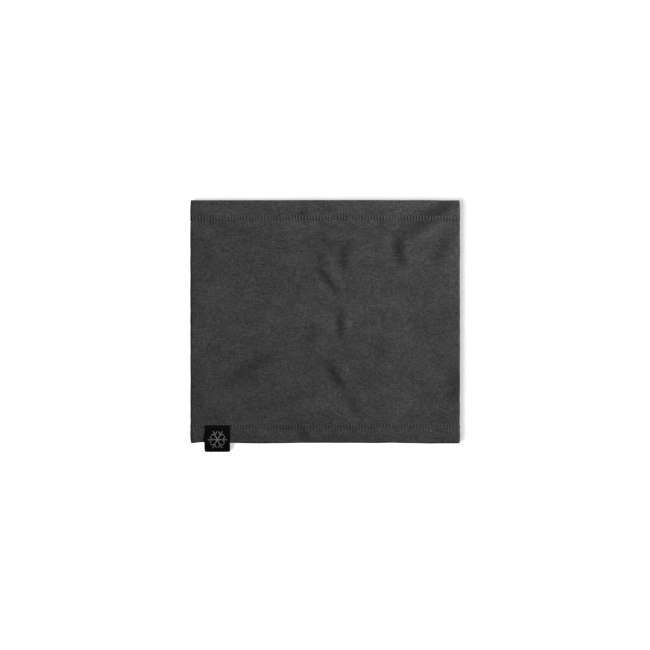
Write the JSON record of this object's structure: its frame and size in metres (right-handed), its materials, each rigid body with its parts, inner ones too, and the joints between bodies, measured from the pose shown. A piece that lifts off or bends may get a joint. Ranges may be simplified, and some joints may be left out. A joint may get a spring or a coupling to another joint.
{
  "type": "neck gaiter",
  "caption": "Hemmed fleece neck tube lying flat, with ladder-stitched hems, a back seam and a folded label at its lower hem.",
  "frame": {"origin": "middle of the tube, on its axis, halfway between the front and the back layer", "axes": "+Y along the tube's axis to the upper hem, +Z out of the front layer, +X to the right across the flat tube"},
  "size_m": [0.25, 0.2336, 0.0082],
  "materials": {
    "fleece": "dark grey heather fleece",
    "hem_thread": "dark grey textured polyester thread",
    "seam_thread": "dark grey textured polyester thread",
    "label_weave": "black woven damask ribbon",
    "label_yarn": "light grey woven yarn",
    "tacking_thread": "black sewing thread",
    "care_satin": "off-white satin, blank"
  },
  "bodies": {
    "back_centre_left": {"back_centre_left_cloth": "fleece", "back_centre_left_upper_hem_thread": "hem_thread", "back_centre_left_lower_hem_thread": "hem_thread", "back_seam_thread": "seam_thread", "care_label": "care_satin", "care_label_tacking": "tacking_thread"},
    "back_left": {"back_left_cloth": "fleece", "back_left_upper_hem_thread": "hem_thread", "back_left_lower_hem_thread": "hem_thread"},
    "front_left": {"front_left_cloth": "fleece", "front_left_upper_hem_thread": "hem_thread", "front_left_lower_hem_thread": "hem_thread", "label_sewn_edge": "label_weave", "label_tacking": "tacking_thread"},
    "front_centre": {"front_centre_cloth": "fleece", "front_centre_upper_hem_thread": "hem_thread", "front_centre_lower_hem_thread": "hem_thread"},
    "front_right": {"front_right_cloth": "fleece", "front_right_upper_hem_thread": "hem_thread", "front_right_lower_hem_thread": "hem_thread"},
    "back_right": {"back_right_cloth": "fleece", "back_right_upper_hem_thread": "hem_thread", "back_right_lower_hem_thread": "hem_thread"},
    "back_centre_right": {"back_centre_right_cloth": "fleece", "back_centre_right_upper_hem_thread": "hem_thread", "back_centre_right_lower_hem_thread": "hem_thread"},
    "woven_label": {"label_ribbon": "label_weave", "label_snow_star": "label_yarn"}
  },
  "joints": [
    {"name": "tube_open", "type": "hinge", "parent": "back_centre_left", "child": "back_left", "pos_m": [-0.042, 0, -0.0004], "axis": [0, 1, 0], "range_deg": [0, 60]},
    {"name": "side_fold_left", "type": "hinge", "parent": "back_left", "child": "front_left", "pos_m": [-0.125, 0, 0], "axis": [0, -1, 0], "range_deg": [0, 120]},
    {"name": "front_fold_left", "type": "hinge", "parent": "front_left", "child": "front_centre", "pos_m": [-0.042, 0, 0.0004], "axis": [0, 1, 0], "range_deg": [0, 60]},
    {"name": "front_fold_right", "type": "hinge", "parent": "front_centre", "child": "front_right", "pos_m": [0.042, 0, 0.0004], "axis": [0, 1, 0], "range_deg": [0, 60]},
    {"name": "side_fold_right", "type": "hinge", "parent": "front_right", "child": "back_right", "pos_m": [0.125, 0, 0], "axis": [0, -1, 0], "range_deg": [0, 120]},
    {"name": "back_fold_right", "type": "hinge", "parent": "back_right", "child": "back_centre_right", "pos_m": [0.042, 0, -0.0004], "axis": [0, 1, 0], "range_deg": [0, 60]},
    {"name": "label_flap", "type": "hinge", "parent": "front_left", "child": "woven_label", "pos_m": [-0.0997, -0.0987, 0.00465], "axis": [-1, 0, 0], "range_deg": [0, 160]}
  ],
  "couplings": [
    {"joint": "side_fold_left", "follows": "tube_open", "ratio": 2},
    {"joint": "front_fold_left", "follows": "tube_open", "ratio": 1},
    {"joint": "front_fold_right", "follows": "tube_open", "ratio": 1},
    {"joint": "side_fold_right", "follows": "tube_open", "ratio": 2},
    {"joint": "back_fold_right", "follows": "tube_open", "ratio": 1}
  ]
}
